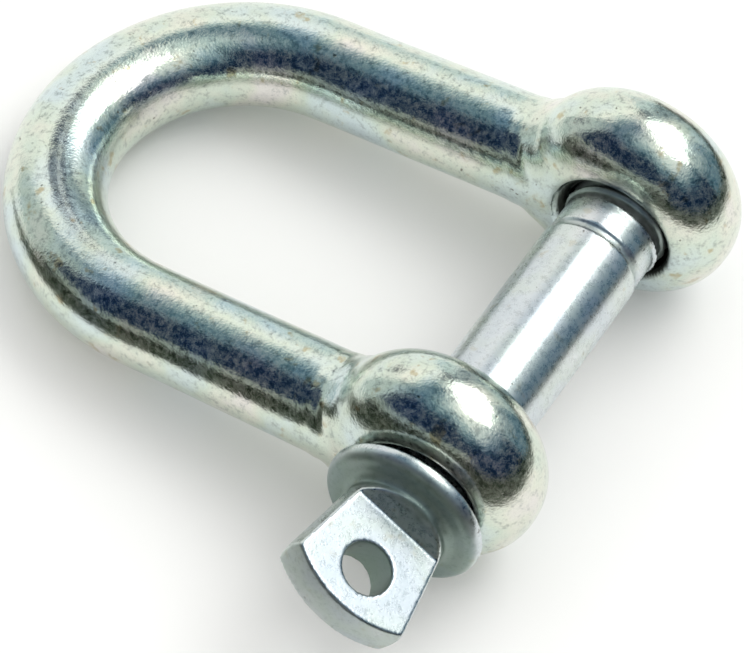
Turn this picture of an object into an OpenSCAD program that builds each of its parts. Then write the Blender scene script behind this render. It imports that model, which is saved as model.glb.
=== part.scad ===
// Screw-pin dee shackle: a forged bow with two eyes, closed by a screw pin.
// The pin lies along Y with its head at -Y, the crown of the bow is at -X, and the origin is on the pin's
// axis midway between the eyes. The shackle lies on its side, on both eyes and the crown.

/* [Bow] */
// Diameter of the round bar at the crown
bar_d = 9.5; // [8:0.1:11]
// Radius of the crown, to the middle of the bar
crown_r = 16.5; // [14:0.1:20]
// Distance from the crown's centre to the pin's axis
crown_to_pin = 31.4; // [27:0.1:45]
// How far the middle line of each leg runs inside the middle of its eye
leg_offset = 0.15; // [0:0.05:0.3]
// How much finer each leg is than the thickness of its eye, at each side
leg_inset = 0.25; // [0.2:0.05:0.6]
// Radius of the hollow where each leg runs up into its eye
root_fillet = 2.2; // [1.2:0.1:4]

/* [Eyes] */
// Width of the jaw between the two eyes
jaw_w = 24.2; // [18:0.1:30]
// Outside diameter of each eye
eye_d = 20.8; // [18.5:0.1:24]
// Thickness of each eye along the pin
eye_t = 10.4; // [9.6:0.1:12]
// Rounding of the eyes' rims
eye_round = 5; // [3.5:0.1:5.1]
// Distance from the middle of an eye's outline to the pin's axis
bore_offset = 0.8; // [0:0.1:1.2]
// Depth of the countersink at both mouths of each bore
mouth_depth = 0.8; // [0.3:0.1:1.5]

/* [Pin] */
// Nominal diameter of the pin's thread
thread_d = 10; // [9.8:0.1:10.4]
// Diameter of the plain shank
shank_d = 9.7; // [9.5:0.1:9.8]
// Diameter of the band between the shank and the thread
band_d = 9.3; // [9:0.1:9.5]
// Length of that band
band_l = 2.8; // [1.5:0.1:4]
// Width of the run-out groove that ends the shank
groove_w = 0.7; // [0.2:0.1:1]
// Depth of the run-out groove below the band
groove_depth = 0.2; // [0.1:0.05:0.5]
// How far the thread shows in the jaw, in front of the tapped eye
thread_lead = 0.6; // [0.2:0.1:2]
// How far the pin's tip stands out of the tapped eye
tip_out = 0.8; // [0.2:0.1:4]
// Chamfer at the pin's tip
tip_chamfer = 1.2; // [0.4:0.1:2]

/* [Fits] */
// Radial clearance of the thread in the tapped bore
thread_clearance = 0.05; // [0.02:0.01:0.1]
// Radial clearance of the thread as it passes through the plain bore
pass_clearance = 0.5; // [0.2:0.05:0.8]
// Gap that the pin stands short of screwing its collar home
collar_gap = 1.2; // [0.4:0.1:3]

/* [Collar and head] */
// Diameter of the collar
collar_d = 15.3; // [14:0.1:18]
// Thickness of the collar
collar_t = 1.6; // [1.4:0.1:4]
// Rounding of the collar's edge towards the eye
collar_back_round = 0.3; // [0.1:0.05:0.35]
// Rounding of the collar's edge towards the head
collar_front_round = 1.1; // [0.4:0.1:1.2]
// Diameter of the neck between the collar and the head
neck_d = 9.7; // [9:0.1:11]
// Radius of the hollow between the collar and the neck
neck_fillet = 1; // [0.3:0.1:1.2]
// Distance from the collar to the start of the head's shoulders
shoulder_start = 0.9; // [0.2:0.1:1.5]
// Length of each slanted shoulder along the pin
shoulder_l = 0.9; // [0.3:0.1:2]
// Thickness of the flattened head
head_t = 4.2; // [3.4:0.1:5.5]
// Width of the head across its end corners
head_w = 12; // [11:0.1:14]
// Length of the flats, from the shoulders to the end corners
flat_l = 8; // [7:0.1:11]
// Height of the head's arched end above its corners
end_rise = 1.8; // [0.8:0.1:2.6]
// Diameter of the hole through the head
hole_d = 4.8; // [3.5:0.1:5.5]
// Distance from the end corners back to the middle of the hole
hole_back = 2.7; // [2.2:0.1:3.6]
// Turn of the head's flats about the pin's axis, from lying level
head_turn = 28; // [0:1:90]

/* [Hidden] */
$fn = 120;
// Plated steel of the forging, and the brighter pin
bow_colour = [0.70, 0.73, 0.70];
pin_colour = [0.78, 0.81, 0.83];
// Depth by which joined shapes cross instead of only touching
cross = 0.1;
// How much finer each leg starts than the crown's bar that it runs out of
leg_step = 0.03;
// Reach of the cuts past the faces that they open
past = 1;

bar_r = bar_d / 2;
eye_r = eye_d / 2;
eye_y = jaw_w / 2 + eye_t / 2;
eye_outer_y = jaw_w / 2 + eye_t;
root_r = eye_t / 2 - leg_inset;

// Each leg is the line that touches the crown's arc and runs to the foot of the leg, in its eye
crown_to_eye = crown_to_pin - bore_offset;
foot_y = eye_y - leg_offset;
reach = norm([crown_to_eye, foot_y]);
touch_angle = atan2(foot_y, crown_to_eye) + acos(crown_r / reach);
leg_l = sqrt(reach * reach - crown_r * crown_r);

// Lying on the eyes and the crown, the bow leans by this angle about the pin
rest_tilt = asin((eye_r - bar_r) / (crown_to_eye + crown_r));

// Radius of a leg at a distance from its foot
function leg_r(back) = root_r + (bar_r - leg_step - root_r) * back / (leg_l + cross);

// Middle of the hollow's arc, measured back along the leg and out from it
hollow_reach = root_fillet - cross;
function hollow_back(side_r) = sqrt(pow(eye_r + hollow_reach, 2) - pow(side_r + hollow_reach, 2));
hollow_x = hollow_back(leg_r(hollow_back(root_r)));
hollow_r = leg_r(hollow_x) + hollow_reach;
// Where that arc runs into the eye's rim, out from the leg
rim_r = hollow_r * eye_r / (eye_r + hollow_reach);
// Two rounds bound the root: they cross just above its rim, and run just inside the leg at its sides
root_half_w = leg_r(hollow_x) - cross;
root_half_h = rim_r + 2 * cross;
side_round = (root_half_w * root_half_w + root_half_h * root_half_h) / (2 * root_half_w);
side_offset = side_round - root_half_w;

thread_r = thread_d / 2;
tapped_r = thread_r + thread_clearance;
plain_r = thread_r + pass_clearance;
tip_y = eye_outer_y + tip_out;
thread_y = jaw_w / 2 - thread_lead;
groove_y = thread_y - band_l;
collar_back_y = -(eye_outer_y + collar_gap);
collar_front_y = collar_back_y - collar_t;
shoulder_y = collar_front_y - shoulder_start;
flat_y = shoulder_y - shoulder_l;
corner_y = flat_y - flat_l;
end_y = corner_y - end_rise;
end_arc_r = (head_w * head_w / 4 + end_rise * end_rise) / (2 * end_rise);
// The head is a flared round blank, which the flats leave at its full width at the corners
flare_r = norm([head_w / 2, head_t / 2]);
blank_l = collar_front_y - end_y;
blank_r = neck_d / 2 + (flare_r - neck_d / 2) * blank_l / (collar_front_y - corner_y);

// Places its children on the middle of the eye at one side of the jaw
module at_eye(side) {
    translate([-bore_offset, side * eye_y, 0]) children();
}

// Turns a revolved shape so that its axis lies along the pin
module along_pin() {
    rotate([-90, 0, 0]) children();
}

// Round bar of the crown, as far round as the two legs touch it
module crown() {
    translate([-crown_to_pin, 0, 0])
        rotate([0, 0, touch_angle])
            rotate_extrude(angle = 360 - 2 * touch_angle)
                translate([crown_r, 0]) circle(bar_r);
}

// Lays its children, modelled up the Z axis, from the foot of a leg back along it
module along_leg(side) {
    translate([-bore_offset, side * foot_y, 0])
        rotate([0, 0, side * (touch_angle - 90)]) rotate([0, -90, 0]) children();
}

// Straight leg, swelling gently from the crown to its eye
module leg(side) {
    along_leg(side) cylinder(h = leg_l + cross, r1 = root_r, r2 = bar_r - leg_step);
}

// Bun of an eye, with a rim that is rounded almost from face to face
module bun(thickness) {
    corner = min(eye_round, thickness / 2 - cross);
    along_pin() rotate_extrude() {
        translate([0, -thickness / 2]) square([eye_r - corner, thickness]);
        translate([0, corner - thickness / 2]) square([eye_r, thickness - 2 * corner]);
        for (end = [-1, 1])
            translate([eye_r - corner, end * (thickness / 2 - corner)])
                intersection() {
                    circle(corner);
                    translate([0, -corner]) square([corner, 2 * corner]);
                }
    }
}

// Wide round along the leg, which keeps the root within the leg at one of the eye's faces
module root_side(end) {
    translate([0, end * side_offset, -past]) cylinder(h = hollow_x + 2 * past, r = side_round);
}

// Root of the leg: a trumpet with a hollow flare above and below, which dies out towards the eye's faces
module leg_root(side) {
    along_leg(side) intersection() {
        rotate_extrude() difference() {
            square([rim_r, hollow_x]);
            translate([hollow_r, hollow_x]) circle(root_fillet);
        }
        root_side(-1);
        root_side(1);
    }
}

// Cut for the bore of the eye at one side, with a countersink at both mouths
module bore(side, radius) {
    translate([0, side * eye_y, 0]) along_pin() {
        cylinder(h = eye_t + 2 * past, r = radius, center = true);
        for (end = [0, 1])
            mirror([0, 0, end]) translate([0, 0, eye_t / 2 - mouth_depth])
                cylinder(h = mouth_depth + past, r1 = radius, r2 = radius + mouth_depth + past);
    }
}

// One forging: crown, legs and eyes, bored for the pin
module bow() {
    color(bow_colour) rotate([0, -rest_tilt, 0]) difference() {
        union() {
            crown();
            for (side = [-1, 1]) {
                leg(side);
                leg_root(side);
                at_eye(side) bun(eye_t);
            }
        }
        // The whole thread passes through the plain bore at the head's side
        bore(-1, plain_r);
        bore(1, tapped_r);
    }
}

// Turned part of the pin: neck, shank, run-out groove, band, thread and chamfered tip
module shank() {
    groove_r = band_d / 2 - groove_depth;
    along_pin() rotate_extrude() polygon([
        [0, shoulder_y],
        [neck_d / 2, shoulder_y],
        [neck_d / 2, collar_back_y - collar_t / 2],
        [shank_d / 2, collar_back_y - collar_t / 2],
        [shank_d / 2, groove_y - groove_w],
        [groove_r, groove_y - groove_w / 2],
        [band_d / 2, groove_y],
        [band_d / 2, thread_y],
        [thread_r, thread_y + thread_r - band_d / 2],
        [thread_r, tip_y - tip_chamfer],
        [thread_r - tip_chamfer, tip_y],
        [0, tip_y]
    ]);
}

// What is cut away to round one edge of the collar, at the corner where it stands
module edge_cut(radius) {
    difference() {
        translate([-radius, -radius]) square(radius + past);
        translate([-radius, -radius]) circle(radius);
    }
}

// Collar with rounded edges, and the hollow between it and the neck
module collar() {
    collar_r = collar_d / 2;
    along_pin() rotate_extrude() {
        difference() {
            translate([0, collar_front_y]) square([collar_r, collar_t]);
            translate([collar_r, collar_back_y]) edge_cut(collar_back_round);
            translate([collar_r, collar_front_y]) mirror([0, 1]) edge_cut(collar_front_round);
        }
        translate([0, collar_front_y - neck_fillet]) difference() {
            square([neck_d / 2 + neck_fillet, neck_fillet + cross]);
            translate([neck_d / 2 + neck_fillet, 0]) circle(neck_fillet);
        }
    }
}

// Flattened head: a flared round blank with two flats, an arched end and a hole through it
module head() {
    cut_t = 2 * blank_r;
    rotate([0, head_turn, 0]) difference() {
        intersection() {
            translate([0, collar_front_y, 0]) rotate([90, 0, 0])
                cylinder(h = blank_l, r1 = neck_d / 2, r2 = blank_r);
            translate([0, end_y + end_arc_r, 0])
                cylinder(h = cut_t, r = end_arc_r, center = true);
        }
        for (face = [0, 1])
            mirror([0, 0, face]) rotate([0, -90, 0])
                linear_extrude(height = 2 * cut_t, center = true) polygon([
                    [head_t / 2, end_y - past],
                    [head_t / 2, flat_y],
                    [neck_d / 2, shoulder_y],
                    [cut_t, shoulder_y],
                    [cut_t, end_y - past]
                ]);
        translate([0, corner_y + hole_back, 0]) cylinder(h = 2 * head_t, d = hole_d, center = true);
    }
}

// One forging: flattened head, collar, plain shank and threaded end
module screw_pin() {
    color(pin_colour) {
        shank();
        collar();
        head();
    }
}

bow();
screw_pin();
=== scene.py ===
import math

import bpy
from mathutils import Matrix, Vector


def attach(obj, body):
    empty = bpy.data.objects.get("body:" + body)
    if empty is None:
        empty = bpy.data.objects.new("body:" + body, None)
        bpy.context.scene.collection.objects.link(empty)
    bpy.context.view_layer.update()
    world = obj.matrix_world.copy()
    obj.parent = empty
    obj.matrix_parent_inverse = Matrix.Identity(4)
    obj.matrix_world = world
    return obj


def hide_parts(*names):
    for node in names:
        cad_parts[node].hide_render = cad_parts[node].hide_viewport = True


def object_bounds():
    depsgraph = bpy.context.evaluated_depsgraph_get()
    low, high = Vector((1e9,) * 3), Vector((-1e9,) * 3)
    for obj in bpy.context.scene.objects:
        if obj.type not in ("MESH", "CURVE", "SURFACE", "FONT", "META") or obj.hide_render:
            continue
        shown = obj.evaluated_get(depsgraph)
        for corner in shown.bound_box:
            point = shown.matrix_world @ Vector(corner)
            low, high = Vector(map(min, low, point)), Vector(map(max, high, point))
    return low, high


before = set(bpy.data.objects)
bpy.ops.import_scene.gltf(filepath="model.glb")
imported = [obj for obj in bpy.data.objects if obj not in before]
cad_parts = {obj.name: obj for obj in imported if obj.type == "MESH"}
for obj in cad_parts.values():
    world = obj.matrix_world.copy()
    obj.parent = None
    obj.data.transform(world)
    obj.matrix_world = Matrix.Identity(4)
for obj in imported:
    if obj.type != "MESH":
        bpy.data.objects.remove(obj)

cad_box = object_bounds()
scene = bpy.context.scene
scene.view_settings.view_transform = "Standard"

# Bow
# One drop forging of round steel bar, bent to a D and upset into a bun-shaped eye at each end. The near
# eye is drilled plain and the far eye is tapped, and the mottled forged skin is bright zinc plated.

# The shapes are worked out in millimetres and made metres at the end
MM = 0.001
bar_r = 4.75
root_r = 4.95
crown_r = 16.5
crown_to_pin = 31.4
eye_r = 10.4
eye_t = 10.4
eye_round = 5.0
eye_y = 17.3
foot_y = 17.15
bore_offset = 0.8
plain_bore_r = 5.5
tapped_bore_r = 5.05
mouth_depth = 0.8
bore_edge = 0.15
thread_pitch = 1.5
bow_box = ((-54.0, -24.0, -11.5), (12.0, 24.0, 11.5))

# Each leg is the line that touches the crown's arc and runs to its foot in the eye
crown_to_foot = crown_to_pin - bore_offset
foot_reach = math.hypot(crown_to_foot, foot_y)
touch_angle = math.atan2(foot_y, crown_to_foot) + math.acos(crown_r / foot_reach)
leg_l = math.sqrt(foot_reach ** 2 - crown_r ** 2)
# The bow lies on its eyes and its crown, and leans by this angle about the pin
rest_tilt = math.asin((eye_r - bar_r) / (crown_to_foot + crown_r))

# At a leg's root a low lip rises as the eye comes near, and then a band with a hollow at each edge. The
# band is narrow at the leg's middle height and widens above and below it.
lip_start = 2.2
lip_full = 1.4
band_least = 0.3
band_narrow_to = 1.0
band_wide_from = 4.5
leg_hollow = 0.15
eye_hollow = 0.3
sine_of_45 = math.sqrt(0.5)


class Field:
    """A number that varies over space. Arithmetic on it adds Math nodes to its tree."""

    def __init__(self, tree, socket):
        self.tree = tree
        self.socket = socket

    def math(self, operation, *others):
        node = self.tree.nodes.new("ShaderNodeMath")
        node.operation = operation
        for slot, value in zip(node.inputs, (self, *others)):
            feed(self.tree, slot, value)
        return Field(self.tree, node.outputs[0])

    def __add__(self, other):
        return self.math("ADD", other)

    def __sub__(self, other):
        return self.math("SUBTRACT", other)

    def __rsub__(self, other):
        return -(self - other)

    def __mul__(self, other):
        return self.math("MULTIPLY", other)

    def __neg__(self):
        return self.math("MULTIPLY", -1.0)

    def __abs__(self):
        return self.math("ABSOLUTE")

    def more(self, other):
        """The larger of the two, at each point."""
        return self.math("MAXIMUM", other)

    def less(self, other):
        """The smaller of the two, at each point."""
        return self.math("MINIMUM", other)


def feed(tree, slot, value):
    """Links a field to a node's socket, or sets a plain value on it."""
    if isinstance(value, Field):
        tree.links.new(value.socket, slot)
    else:
        slot.default_value = value


def hypot(a, b):
    """Length of the slanting side of a right-angled triangle with the sides a and b."""
    return (a * a + b * b).math("SQRT")


def joined(a, b, radius):
    """Union of two shapes, with a hollow of that radius where they meet."""
    corner = hypot((radius - a).more(0.0), (radius - b).more(0.0))
    return a.less(b).more(radius) - corner


def cut_to(a, b, radius):
    """What two shapes have in common, with an edge rounded to that radius."""
    edge = hypot((a + radius).more(0.0), (b + radius).more(0.0))
    return a.more(b).less(-radius) + edge


def ramp(field, start, full):
    """Eased step from 0 where the field is at start to 1 where it is at full, which may be the lower."""
    node = field.tree.nodes.new("ShaderNodeMapRange")
    node.interpolation_type = "SMOOTHSTEP"
    for slot, value in zip(node.inputs, (field, start, full, 0.0, 1.0)):
        feed(field.tree, slot, value)
    return Field(field.tree, node.outputs[0])


def noise(tree, scale, detail, rough=0.5, place=None):
    """Noise from 0 to 1, about so many swells in a millimetre, at a place or at the shape's own points."""
    node = tree.nodes.new("ShaderNodeTexNoise")
    node.inputs["Scale"].default_value = scale
    node.inputs["Detail"].default_value = detail
    node.inputs["Roughness"].default_value = rough
    if place is not None:
        tree.links.new(place, node.inputs["Vector"])
    return Field(tree, node.outputs[0])


def thread_wave(x, y, z):
    """Right-hand screw line about the pin's axis: 0 at the roots of the thread and 1 at its crests."""
    turns = y.math("DIVIDE", thread_pitch) - x.math("ARCTAN2", z) * (0.5 / math.pi)
    return turns.math("PINGPONG", 0.5) * 2.0


def bow_distance(x, y, z, size):
    """Distance in millimetres from the skin of the bow, less than nought inside it."""
    along = x * math.cos(rest_tilt) + z * math.sin(rest_tilt)
    high = z * math.cos(rest_tilt) - x * math.sin(rest_tilt)
    side = abs(y)
    # Round bar, along the crown's arc and then straight to the foot of the leg
    ahead = along + crown_to_pin
    run = ahead * math.sin(touch_angle) - side * math.cos(touch_angle)
    out = ahead * math.cos(touch_angle) + side * math.sin(touch_angle)
    beside = hypot(run.less(0.0), out) - size["Crown radius"]
    beyond = (run - leg_l).more(0.0)
    swell = ramp(run, 0.0, leg_l) * (size["Root radius"] - size["Bar radius"])
    bar = hypot(hypot(beside, high), beyond) - (swell + size["Bar radius"])
    # Bun of the eye, rounded almost from face to face
    rim = hypot(along + bore_offset, high) - (size["Eye radius"] - eye_round)
    cheek = abs(side - eye_y) - (size["Eye thickness"] * 0.5 - eye_round)
    eye = hypot(rim.more(0.0), cheek.more(0.0)) + rim.more(cheek).less(0.0) - eye_round
    # Lip and band at the leg's root
    leg = bar - ramp(eye, lip_start, lip_full) * size["Root lip"]
    width = ramp(abs(high), band_narrow_to, band_wide_from) * size["Root band"] + band_least
    band = (leg + eye - width) * sine_of_45
    skin = joined(joined(leg, band, leg_hollow), eye, eye_hollow)
    skin = skin + noise(x.tree, scale=0.16, detail=2.0) * size["Forging swell"]
    # Plain bore of the near eye and tapped bore of the far one, countersunk at every mouth
    far = y.math("GREATER_THAN", 0.0)
    tapped = thread_wave(x, y, z) * size["Thread depth"] + tapped_bore_r
    mouth = (abs(side - eye_y) - (size["Eye thickness"] * 0.5 - mouth_depth)).more(0.0)
    bore = hypot(x, z) - (tapped * far + (1.0 - far) * plain_bore_r + mouth)
    return cut_to(skin, -bore, bore_edge)


# The painted shade in the bores fades out across the rims of their countersinks
rim_fade_outside = 0.1
rim_fade_inside = 0.15


def bow_shade_paint(x, y, z):
    """Share of painted shade on the bow, where the plate is also rougher and less metallic: inside its bores
    and their countersinks.
    """
    far = y.math("GREATER_THAN", 0.0)
    rim = far * (tapped_bore_r - plain_bore_r) + (plain_bore_r + mouth_depth)
    return ramp(rim - hypot(x, z), -rim_fade_outside, rim_fade_inside)


# A shape's volume has this value at its skin, more inside it, and the other value outside its box
skin_level = 1.0
outside_level = -1.0


def skin_tree(name, distance, shade_painter, sizes, box, material):
    """Tree that skins the shape a distance gives, within a box in millimetres, and makes it metres."""
    tree = bpy.data.node_groups.new(name, "GeometryNodeTree")
    tree.interface.new_socket("Geometry", in_out="OUTPUT", socket_type="NodeSocketGeometry")
    for label in sizes:
        tree.interface.new_socket(label, in_out="INPUT", socket_type="NodeSocketFloat")
    given = tree.nodes.new("NodeGroupInput")
    size = {label: Field(tree, given.outputs[label]) for label in sizes}
    position = tree.nodes.new("GeometryNodeInputPosition")
    split = tree.nodes.new("ShaderNodeSeparateXYZ")
    tree.links.new(position.outputs[0], split.inputs[0])
    x, y, z = (Field(tree, socket) for socket in split.outputs)
    block = tree.nodes.new("GeometryNodeVolumeCube")
    feed(tree, block.inputs["Density"], skin_level - distance(x, y, z, size))
    block.inputs["Background"].default_value = outside_level
    low, high = box
    block.inputs["Min"].default_value = low
    block.inputs["Max"].default_value = high
    for axis, near, far in zip("XYZ", low, high):
        steps = size["Grain"].math("POWER", -1.0) * (far - near)
        feed(tree, block.inputs["Resolution " + axis], steps)
    skin = tree.nodes.new("GeometryNodeVolumeToMesh")
    skin.inputs["Threshold"].default_value = skin_level
    smooth = tree.nodes.new("GeometryNodeSetShadeSmooth")
    # Stores on each point the share of painted shade, a darkening where shade falls in bores and hollows
    shade = tree.nodes.new("GeometryNodeStoreNamedAttribute")
    shade.inputs["Name"].default_value = "painted_shade"
    feed(tree, shade.inputs["Value"], shade_painter(x, y, z))
    metres = tree.nodes.new("GeometryNodeTransform")
    metres.inputs["Scale"].default_value = (MM, MM, MM)
    realize = tree.nodes.new("GeometryNodeRealizeInstances")
    paint = tree.nodes.new("GeometryNodeSetMaterial")
    paint.inputs["Material"].default_value = material
    result = tree.nodes.new("NodeGroupOutput")
    chain = [block, skin, smooth, shade, metres, realize, paint, result]
    for before, after in zip(chain, chain[1:]):
        tree.links.new(before.outputs[0], after.inputs[0])
    return tree


def plain_piece(name, tree, sizes):
    """Object with the plain mesh that a tree gives at those sizes."""
    piece = bpy.data.objects.new(name, bpy.data.meshes.new(name))
    scene.collection.objects.link(piece)
    modifier = piece.modifiers.new(name, "NODES")
    modifier.node_group = tree
    for socket in tree.interface.items_tree:
        if socket.in_out == "INPUT":
            modifier[socket.identifier] = sizes[socket.name]
    depsgraph = bpy.context.evaluated_depsgraph_get()
    evaluated = piece.evaluated_get(depsgraph)
    mesh = bpy.data.meshes.new_from_object(evaluated, preserve_all_data_layers=True, depsgraph=depsgraph)
    piece.modifiers.clear()
    piece.data = mesh
    return piece


def graded(tree, share, stops):
    """Colour socket that runs through the stops, each a share from 0 to 1 and the colour there."""
    node = tree.nodes.new("ShaderNodeValToRGB")
    elements = node.color_ramp.elements
    while len(elements) < len(stops):
        elements.new(0.5)
    for element, (stop, colour) in zip(elements, stops):
        element.position = stop
        element.color = (*colour, 1.0)
    feed(tree, node.inputs["Fac"], share)
    return node.outputs["Color"]


def mixed(tree, share, first, second):
    """Colour socket between a colour socket and a plain colour."""
    node = tree.nodes.new("ShaderNodeMix")
    node.data_type = "RGBA"
    feed(tree, node.inputs[0], share)
    # Inputs 6 and 7 are the two colours and output 2 the mixed one, as names are shared with other types
    tree.links.new(first, node.inputs[6])
    node.inputs[7].default_value = (*second, 1.0)
    return node.outputs[2]


# Each mark on the zinc plate comes from a noise, from where the mark starts to where it is full
tone_first = 0.3
tone_last = 0.7
grit_range = (0.53, 0.32)
chalk_range = (0.40, 0.72)
stain_range = (0.62, 0.72)
pit_range = (0.69, 0.75)
grit_tone = (0.12, 0.15, 0.15)
stain_tone = (0.42, 0.33, 0.15)
pit_tone = (0.09, 0.08, 0.05)
pit_share = 0.75
pit_depth = 0.01
chalk_specular = 0.3
dull_chalk = 0.25
dull_roughness = 0.2


def zinc_plate(name, tones, patches, grain, roughness, grit, stains, shade_tone):
    """Bright zinc plate: tones in soft patches, dark and chalky grit, a fine grain, and stains and pits.

    There are so many patches in a millimetre. Grain is the height of the coarse and the fine grain in
    millimetres, roughness is the least and the most, and grit is the share of the dark and the chalky grit.
    """
    material = bpy.data.materials.new(name)
    material.use_nodes = True
    tree = material.node_tree
    shader = tree.nodes["Principled BSDF"]
    shader.inputs["Specular IOR Level"].default_value = chalk_specular
    millimetres = tree.nodes.new("ShaderNodeVectorMath")
    millimetres.operation = "SCALE"
    millimetres.inputs["Scale"].default_value = 1.0 / MM
    tree.links.new(tree.nodes.new("ShaderNodeTexCoord").outputs["Object"], millimetres.inputs[0])
    place = millimetres.outputs[0]

    # Soft patches of tone, with dark grit, stains of yellowed plate and a few pits
    tone_step = (tone_last - tone_first) / (len(tones) - 1)
    stops = [(tone_first + tone_step * step, tone) for step, tone in enumerate(tones)]
    colour = graded(tree, noise(tree, scale=patches, detail=3.0, place=place), stops)
    fine = noise(tree, scale=1.5, detail=5.0, rough=0.8, place=place)
    colour = mixed(tree, ramp(fine, *grit_range) * grit[0], colour, grit_tone)
    stain = ramp(noise(tree, scale=0.55, detail=3.0, place=place), *stain_range)
    colour = mixed(tree, stain * stains, colour, stain_tone)
    pit = ramp(noise(tree, scale=1.3, detail=4.0, place=place), *pit_range)
    colour = mixed(tree, pit * pit_share, colour, pit_tone)
    # Painted shade in the holes and hollows, where the plate is also made rougher and less metallic below
    attribute = tree.nodes.new("ShaderNodeAttribute")
    attribute.attribute_name = "painted_shade"
    painted_shade = Field(tree, attribute.outputs["Fac"])
    colour = mixed(tree, painted_shade, colour, shade_tone)
    tree.links.new(colour, shader.inputs["Base Color"])
    # Chalky grit scatters light, so it shows most where the metal mirrors something dark
    chalk = ramp(fine, *chalk_range) * grit[1]
    feed(tree, shader.inputs["Metallic"], 1.0 - (chalk + painted_shade * dull_chalk))
    rough = fine * (roughness[1] - roughness[0]) + roughness[0] + painted_shade * dull_roughness
    feed(tree, shader.inputs["Roughness"], rough)

    coarse_grain = noise(tree, scale=0.9, detail=3.0, place=place) * grain[0]
    fine_grain = noise(tree, scale=4.5, detail=2.0, place=place) * grain[1]
    bump = tree.nodes.new("ShaderNodeBump")
    bump.inputs["Distance"].default_value = MM
    feed(tree, bump.inputs["Height"], coarse_grain + fine_grain - pit * pit_depth)
    tree.links.new(bump.outputs["Normal"], shader.inputs["Normal"])
    return material


bow_zinc = zinc_plate(
    "bow_zinc",
    tones=[
        (0.62, 0.72, 0.75), (0.65, 0.75, 0.73), (0.66, 0.74, 0.64), (0.74, 0.76, 0.66), (0.78, 0.75, 0.72),
    ],
    patches=0.14,
    grain=(0.018, 0.016),
    roughness=(0.09, 0.26),
    grit=(0.50, 0.13),
    stains=0.6,
    # Near black, the colour of the painted shade in the bores and countersinks
    shade_tone=(0.02, 0.025, 0.02),
)
bow_sizes = {
    "Bar radius": bar_r,
    "Root radius": root_r,
    "Crown radius": crown_r,
    "Eye radius": eye_r,
    "Eye thickness": eye_t,
    "Root band": 0.7,
    "Root lip": 0.12,
    "Thread depth": 0.5,
    "Forging swell": 0.06,
    "Grain": 0.27,
}
bow_tree = skin_tree("bow_forging", bow_distance, bow_shade_paint, bow_sizes, bow_box, bow_zinc)
bow = plain_piece("bow_forging", bow_tree, bow_sizes)
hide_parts("bow")
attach(bow, "bow")

# Screw pin
# One forging, turned and thread-rolled: a flattened and flared head with a hole, a collar, a plain shank,
# a run-out groove and a threaded end. It is zinc plated brighter and smoother than the bow.

shank_r = 4.85
shank_edge = 0.25
band_r = 4.65
band_edge = 0.15
thread_r = 5.0
thread_depth = 0.75
collar_r = 7.65
collar_back = -23.7
collar_front = -25.3
collar_back_round = 0.3
collar_front_round = 1.1
neck_hollow = 1.0
shoulder_y = -26.2
shoulder_hollow = 0.1
flat_y = -27.1
corner_y = -35.1
end_y = -36.9
end_edge = 0.3
hole_y = -32.4
hole_r = 2.4
head_half_t = 2.1
head_half_w = 6.0
head_turn = math.radians(28)
groove_y = 8.35
groove_half = 0.35
groove_r = 4.45
thread_y = 11.5
tip_y = 23.3
tip_chamfer = 1.2
pin_box = ((-8.5, -37.8, -8.5), (8.5, 24.2, 8.5))

# The band and the core below the groove run on into the next stretch by this much
overlap = 1.0
# The blank flares until it is as wide as the head at its corners, and the end is an arc between them
flare = (math.hypot(head_half_w, head_half_t) - shank_r) / (collar_front - corner_y)
end_rise = corner_y - end_y
end_r = (head_half_w ** 2 + end_rise ** 2) / (2 * end_rise)
# The shoulders slant from the round neck down to the flats
slant = math.atan2(shank_r - head_half_t, shoulder_y - flat_y)


def across_flats(x, z):
    """How far a point lies sideways along the head's flats."""
    return x * math.cos(head_turn) - z * math.sin(head_turn)


def pin_distance(x, y, z, size):
    """Distance in millimetres from the skin of the pin, less than nought inside it."""
    across = hypot(x, z)
    # Shank, run-out groove, band and rolled thread with its chamfered tip
    shank = cut_to(across - size["Shank radius"], y - groove_y + groove_half, shank_edge)
    band = cut_to(across - band_r, groove_y + groove_half - y, band_edge).more(y - thread_y - overlap)
    core = (across - groove_r).more(y - groove_y - overlap)
    crest = thread_wave(x, y, z) * size["Thread depth"] - size["Thread depth"] + thread_r
    thread = (across - crest).more(across - y + thread_y - band_r)
    chamfer = (across + y - thread_r - tip_y + tip_chamfer) * sine_of_45
    thread = thread.more(chamfer).more(y - tip_y)
    turned = shank.less(band).less(core).less(thread)
    # Collar, more rounded towards the head, with a hollow up to the neck
    front_rim = (across - collar_r + collar_front_round).more(0.0)
    front = hypot(front_rim, (collar_front + collar_front_round - y).more(0.0)) - collar_front_round
    back_rim = (across - collar_r + collar_back_round).more(0.0)
    back = hypot(back_rim, (y - collar_back + collar_back_round).more(0.0)) - collar_back_round
    turned = joined(turned, front.more(back), neck_hollow).more(shoulder_y - y)
    # Head: a flared blank with two flats, slanted shoulders, an arched end and a hole
    flat_way = across_flats(x, z)
    thick_way = abs(x * math.sin(head_turn) + z * math.cos(head_turn))
    blank = (across + (y - collar_front) * flare - shank_r) * math.cos(math.atan(flare))
    end = hypot(flat_way, y - end_y - end_r) - end_r
    shoulder = (thick_way - head_half_t) * math.cos(slant) - (y - flat_y) * math.sin(slant)
    flat = joined(thick_way - size["Head half thickness"], shoulder, shoulder_hollow)
    head = cut_to(cut_to(blank, end, end_edge), flat, size["Head edge"])
    hole = hypot(flat_way, y - hole_y) - size["Hole radius"]
    head = cut_to(head, -hole, size["Head edge"]).more(y - collar_front)
    return turned.less(head)


# Share of painted shade in each place, and how far from there the painted shade starts and is full
hole_shade = 0.75
end_shade = 0.3
edge_start = 0.12
edge_full = 0.04
end_fade = 1.0
groove_shade = 0.35
groove_start = 0.5
groove_full = 0.1
thread_shade = 0.5
thread_fade = 1.0
tip_start = 0.1
tip_full = 0.5
collar_shade = 0.68
collar_start = 0.9
collar_full = 0.1
neck_fade = 0.4


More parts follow.
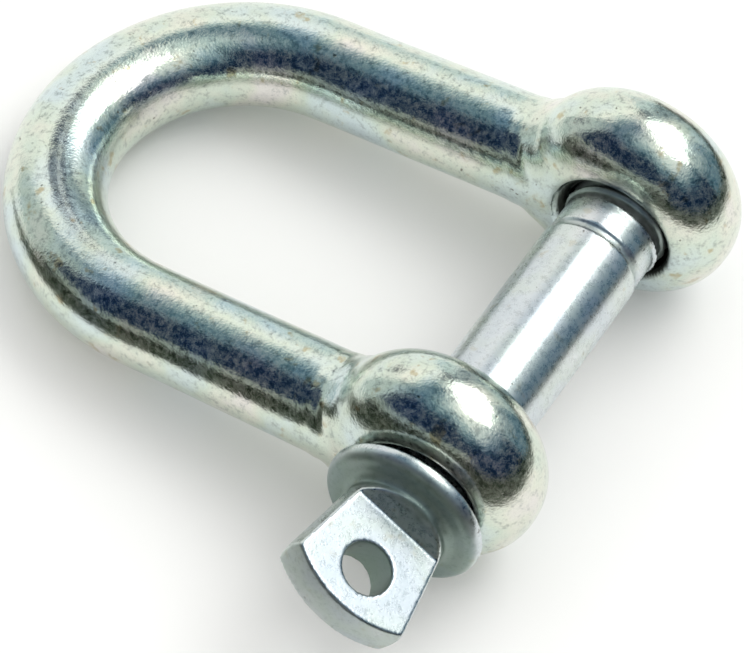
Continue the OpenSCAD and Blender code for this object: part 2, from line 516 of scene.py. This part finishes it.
def pin_shade_paint(x, y, z):
    """Share of painted shade on the pin, where the plate is also rougher and less metallic.

    It lies in the hole, the groove and the thread, on the collar's front and neck, and on the sheared end.
    """
    flat_way = across_flats(x, z)
    hole = ramp(hypot(flat_way, y - hole_y), hole_r + edge_start, hole_r + edge_full) * hole_shade
    groove = ramp(abs(y - groove_y), groove_start, groove_full) * groove_shade
    tip = ramp(y, tip_y - tip_start, tip_y - tip_full)
    thread = ramp(y, thread_y, thread_y + thread_fade) * tip * thread_shade
    neck = ramp(y, shoulder_y - neck_fade, shoulder_y)
    collar = ramp(y, collar_front + collar_start, collar_front + collar_full) * neck * collar_shade
    sheared = ramp(hypot(flat_way, y - end_y - end_r), end_r - edge_start, end_r - edge_full)
    end = sheared * ramp(y, hole_y, hole_y - end_fade) * end_shade
    return hole.more(groove).more(thread).more(collar).more(end)


pin_zinc = zinc_plate(
    "pin_zinc",
    tones=[(0.59, 0.65, 0.68), (0.64, 0.69, 0.72), (0.64, 0.70, 0.67), (0.72, 0.75, 0.76)],
    patches=0.16,
    grain=(0.006, 0.006),
    roughness=(0.20, 0.36),
    grit=(0.28, 0.10),
    stains=0.25,
    # Dark green-grey, the colour of the painted shade in the pin's hole, groove, thread, collar front and
    # end
    shade_tone=(0.07, 0.14, 0.10),
)
pin_sizes = {
    "Shank radius": shank_r,
    "Thread depth": thread_depth,
    "Head half thickness": head_half_t,
    "Head edge": 0.14,
    "Hole radius": hole_r,
    "Grain": 0.18,
}
pin_tree = skin_tree("screw_pin_forging", pin_distance, pin_shade_paint, pin_sizes, pin_box, pin_zinc)
pin = plain_piece("screw_pin_forging", pin_tree, pin_sizes)
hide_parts("screw_pin")
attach(pin, "screw_pin")

# Table and studio
# A plain pale table under a white sky, with a soft lamp high behind at the right. The metal also mirrors a
# studio that nothing else shows: pale walls at the left and behind, dark ones in front and at the right.

floor_z = cad_box[0].z
table_half = 4.0
table_white = (0.92, 0.92, 0.90)


def plain(name, colour, glow):
    """Plain matt colour, or a plain glow of that colour."""
    material = bpy.data.materials.new(name)
    material.use_nodes = True
    shader = material.node_tree.nodes["Principled BSDF"]
    shader.inputs["Roughness"].default_value = 1.0
    shader.inputs["Specular IOR Level"].default_value = 0.0
    shader.inputs["Base Color"].default_value = (0, 0, 0, 1) if glow else (*colour, 1)
    shader.inputs["Emission Color"].default_value = (*colour, 1)
    shader.inputs["Emission Strength"].default_value = glow
    return material


def stage_mesh(name, points, faces, material):
    """A stage piece from its corners."""
    mesh = bpy.data.meshes.new(name)
    mesh.from_pydata(points, [], faces)
    mesh.materials.append(material)
    piece = bpy.data.objects.new(name, mesh)
    scene.collection.objects.link(piece)
    return piece


table_corners = [(x * table_half, y * table_half, floor_z) for x, y in ((-1, -1), (1, -1), (1, 1), (-1, 1))]
stage_mesh("table", table_corners, [(0, 1, 2, 3)], plain("table_white", table_white, 0.0))


def direction(azimuth, elevation):
    """Unit vector at that azimuth and elevation in degrees; azimuth 0 is at +Y and 90 at +X."""
    level = math.radians(azimuth)
    rise = math.radians(elevation)
    return Vector((math.sin(level) * math.cos(rise), math.cos(level) * math.cos(rise), math.sin(rise)))


def between(ends, share):
    """Value at that share of the way from the first end to the second."""
    return ends[0] + (ends[1] - ends[0]) * share


def mirrored_sheet(name, middle, azimuths, elevations, reaches, steps, material):
    """Sheet that only the metal shows, between two azimuths, elevations and distances from its middle.

    It has so many steps from azimuth to azimuth, and so many over its elevations and distances.
    """
    across, up = steps
    points = []
    for row in range(up + 1):
        for column in range(across + 1):
            way = direction(between(azimuths, column / across), between(elevations, row / up))
            points.append(middle + way * between(reaches, row / up))
    faces = []
    for row in range(up):
        for column in range(across):
            first = row * (across + 1) + column
            faces.append((first, first + 1, first + across + 2, first + across + 1))
    sheet = stage_mesh(name, points, faces, material)
    sheet.visible_camera = False
    sheet.visible_diffuse = False
    sheet.visible_shadow = False


# Each wall spans some degrees of azimuth, and its glow changes with the elevation in degrees
dome_r = 1.6
dome_middle = Vector((0.0, 0.0, 0.0))
dome_elevations = (-2, 90)
dome_rows = 23
column_degrees = 4
zenith = 90
dusk = (0.012, 0.016, 0.010)
navy = (0.009, 0.026, 0.070)
slate = (0.10, 0.19, 0.27)
shade = (0.26, 0.33, 0.38)
grey = (0.38, 0.50, 0.56)
mist = (0.50, 0.58, 0.62)
light_line = (0.55, 0.60, 0.55)
cloud = (0.56, 0.63, 0.64)
haze = (0.62, 0.69, 0.68)
pale = (0.70, 0.80, 0.84)
white = (1.06, 1.06, 1.04)
glare = (1.3, 1.25, 1.2)
walls = {
    "wall_front": ((150, 250), [
        (0, dusk), (9, dusk), (15, light_line), (20, navy), (52, navy), (66, slate), (78, grey), (90, pale),
    ]),
    "wall_left": ((-110, -78), [(0, cloud), (34, cloud), (58, slate), (70, slate), (90, grey)]),
    "wall_back_left": ((-78, -27), [
        (0, white), (26, white), (44, glare), (55, grey), (63, slate), (73, slate), (90, pale),
    ]),
    "wall_back_edge": ((-27, -14), [(0, pale), (31, pale), (38, navy), (46, navy), (56, white), (90, pale)]),
    "wall_back_strip": ((-14, 0), [(0, grey), (12, shade), (36, shade), (46, pale), (90, pale)]),
    "wall_back": ((0, 24), [(0, grey), (20, haze), (36, white), (90, pale)]),
    "wall_back_right": ((24, 62), [(0, slate), (18, slate), (37, mist), (54, white), (90, pale)]),
    "wall_right": ((62, 125), [
        (0, dusk), (6, navy), (24, navy), (36, slate), (50, pale), (76, white), (90, pale),
    ]),
    "wall_front_right": ((125, 150), [
        (0, dusk), (6, navy), (30, navy), (46, slate), (60, grey), (90, pale),
    ]),
}
for name, (span, stops) in walls.items():
    glow = plain(name, white, 1.0)
    tree = glow.node_tree
    split = tree.nodes.new("ShaderNodeSeparateXYZ")
    tree.links.new(tree.nodes.new("ShaderNodeTexCoord").outputs["Object"], split.inputs[0])
    height = Field(tree, split.outputs["Z"]) * (1.0 / dome_r)
    elevation = height.math("ARCSINE") * (2.0 / math.pi)
    colour = graded(tree, elevation, [(degrees / zenith, tone) for degrees, tone in stops])
    tree.links.new(colour, tree.nodes["Principled BSDF"].inputs["Emission Color"])
    steps = (round((span[1] - span[0]) / column_degrees), dome_rows)
    mirrored_sheet(name, dome_middle, span, dome_elevations, (dome_r, dome_r), steps, glow)

# In front and at the right, past the pale table top round the shackle, the metal mirrors a dark bench
bench_tone = (0.05, 0.06, 0.045)
bench_span = (-12, 242)
bench_steps = (44, 1)
bench_reaches = (0.072, dome_r)
bench_lift = 0.0003
bench_middle = Vector((-0.010, 0.025, floor_z + bench_lift))
bench_glow = plain("bench", bench_tone, 1.0)
mirrored_sheet("dark_bench", bench_middle, bench_span, (0, 0), bench_reaches, bench_steps, bench_glow)

# A small dark card, close behind the crown at its left, shows as the dark patch on the crown's shoulder
card_span = (-52, -28)
card_elevations = (38, 49)
card_steps = (4, 1)
card_reaches = (0.05, 0.05)
crown_shoulder = Vector((-0.0455, -0.0089, 0.0))
card_glow = plain("card", navy, 1.0)
mirrored_sheet("dark_card", crown_shoulder, card_span, card_elevations, card_reaches, card_steps, card_glow)

# Soft lamp that faces the shackle, leant over towards the back, as bright all over as its glow
lamp_glow = 2.7
lamp_size = (0.82, 0.54)
lamp_azimuth = 31
lamp_elevation = 58
lamp_reach = 1.0
lamp_lean = math.radians(-20)
lamp_way = direction(lamp_azimuth, lamp_elevation)
lamp_data = bpy.data.lights.new("lamp_high", "AREA")
lamp_data.shape = "RECTANGLE"
lamp_data.size = lamp_size[0]
lamp_data.size_y = lamp_size[1]
lamp_data.energy = lamp_glow * math.pi * lamp_size[0] * lamp_size[1]
lamp = bpy.data.objects.new("lamp_high", lamp_data)
lamp.location = lamp_way * lamp_reach
lamp_turn = lamp_way.to_track_quat("Z", "Y").to_matrix() @ Matrix.Rotation(lamp_lean, 3, "Z")
lamp.rotation_euler = lamp_turn.to_euler()
scene.collection.objects.link(lamp)

# The sky lights the table softly, and the camera and the metal see it as white
sky_fill = 0.95
world = bpy.data.worlds.new("white_sky")
scene.world = world
world.use_nodes = True
sky = world.node_tree
path = sky.nodes.new("ShaderNodeLightPath")
seen = Field(sky, path.outputs["Is Camera Ray"])
for ray in ("Is Glossy Ray", "Is Transmission Ray"):
    seen = seen.more(Field(sky, path.outputs[ray]))
background = sky.nodes["Background"]
background.inputs["Color"].default_value = (1, 1, 1, 1)
feed(sky, background.inputs["Strength"], seen * (1.0 - sky_fill) + sky_fill)

# Camera
# It stands off to the front and right of the head, with a long lens, and is turned a little about its axis.

camera_azimuth = 155.01
camera_elevation = 53.49
camera_roll = math.radians(7.07)
camera_distance = 0.7356
camera_aim = Vector((-0.01244, -0.00879, 0.0))
camera_lens = 404.3
camera_data = bpy.data.cameras.new("camera")
camera_data.sensor_width = 36.0
camera_data.lens = camera_lens
camera = bpy.data.objects.new("camera", camera_data)
away = direction(camera_azimuth, camera_elevation)
camera.location = camera_aim + away * camera_distance
level_turn = away.to_track_quat("Z", "Y").to_matrix()
camera.rotation_euler = (level_turn @ Matrix.Rotation(camera_roll, 3, "Z")).to_euler()
scene.collection.objects.link(camera)
scene.camera = camera
